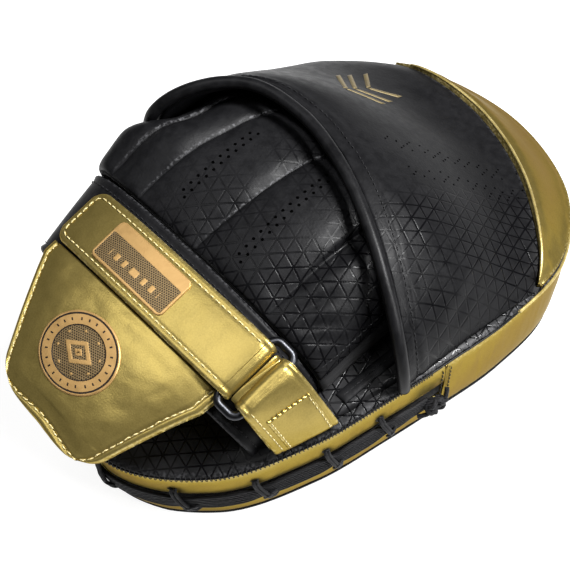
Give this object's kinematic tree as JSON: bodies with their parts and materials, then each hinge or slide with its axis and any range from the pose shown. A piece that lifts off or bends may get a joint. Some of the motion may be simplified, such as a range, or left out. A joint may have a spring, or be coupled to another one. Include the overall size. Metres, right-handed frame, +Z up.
{
  "type": "boxing focus mitt",
  "caption": "Curved boxing focus mitt for the left hand, with a padded hand pocket under a hood, a laced edge, a ring-closed wrist strap and a wrist cuff.",
  "frame": {"origin": "centre of the base of the whole mitt, which lies on its hollow strike face", "axes": "+Z up out of the back of the mitt, +X to the fingertips, -Y to the thumb side with the ring"},
  "size_m": [0.2928, 0.1874, 0.1287],
  "materials": {
    "gold_leatherette": "satin metallic coating",
    "black_leatherette": "satin, embossed triangle lattice",
    "black_cord": "braided elastic cord",
    "liner_fabric": "woven lining and hook-and-loop",
    "foam": "closed-cell foam",
    "gel": "soft gel sheet",
    "steel": "black nickel",
    "copper_trim": "metallic printed patch"
  },
  "bodies": {
    "root": {"back_panel": "black_leatherette", "backing_foam": "foam", "cuff_base": "gold_leatherette", "edge_welt": "black_leatherette", "finger_cover": "black_leatherette", "finger_pad_1": "black_leatherette", "finger_pad_2": "black_leatherette", "finger_pad_3": "black_leatherette", "finger_pad_4": "black_leatherette", "finger_pad_5": "black_leatherette", "foam_core": "foam", "gel_layer": "gel", "gusset_lower": "gold_leatherette", "gusset_tip": "gold_leatherette", "gusset_upper": "gold_leatherette", "hood_piping": "black_leatherette", "hood_shell": "black_leatherette", "lace_channel": "liner_fabric", "lace_cord_1": "black_cord", "lace_cord_2": "black_cord", "lace_cord_3": "black_cord", "lace_cord_4": "black_cord", "lace_knot": "black_cord", "lace_tie_1": "black_cord", "lace_tie_2": "black_cord", "lace_tie_3": "black_cord", "lace_tie_4": "black_cord", "lace_tie_5": "black_cord", "lace_tie_6": "black_cord", "lace_tie_7": "black_cord", "lace_tie_8": "black_cord", "lace_tie_9": "black_cord", "loop_patch": "liner_fabric", "palm_grip": "black_leatherette", "pocket_lining": "liner_fabric", "ring_tab": "gold_leatherette", "side_binding": "black_leatherette", "strike_cover": "black_leatherette", "tab_patch": "gold_leatherette", "target_ring": "gold_leatherette", "target_spot": "gold_leatherette", "tip_panel": "gold_leatherette", "tip_seam_cord": "gold_leatherette", "wrist_band": "black_leatherette"},
    "ring": {"ring": "steel"},
    "strap": {"wrist_strap": "gold_leatherette", "hook_patch": "liner_fabric", "strap_label": "copper_trim"},
    "cuff": {"cuff_flap": "gold_leatherette", "cuff_badge": "copper_trim"}
  },
  "joints": [
    {"name": "ring_swing", "type": "hinge", "parent": "root", "child": "ring", "pos_m": [-0.06999, -0.05047, 0.10066], "axis": [0.9749, 0, 0.2228], "range_deg": [0, 20]},
    {"name": "strap_peel", "type": "hinge", "parent": "ring", "child": "strap", "pos_m": [-0.07069, -0.03786, 0.10375], "axis": [0.9749, 0, 0.2228], "range_deg": [0, 100]},
    {"name": "cuff_flex", "type": "hinge", "parent": "root", "child": "cuff", "pos_m": [-0.09798, 0.01364, 0.09967], "axis": [0, 1, 0], "range_deg": [0, 22]}
  ]
}
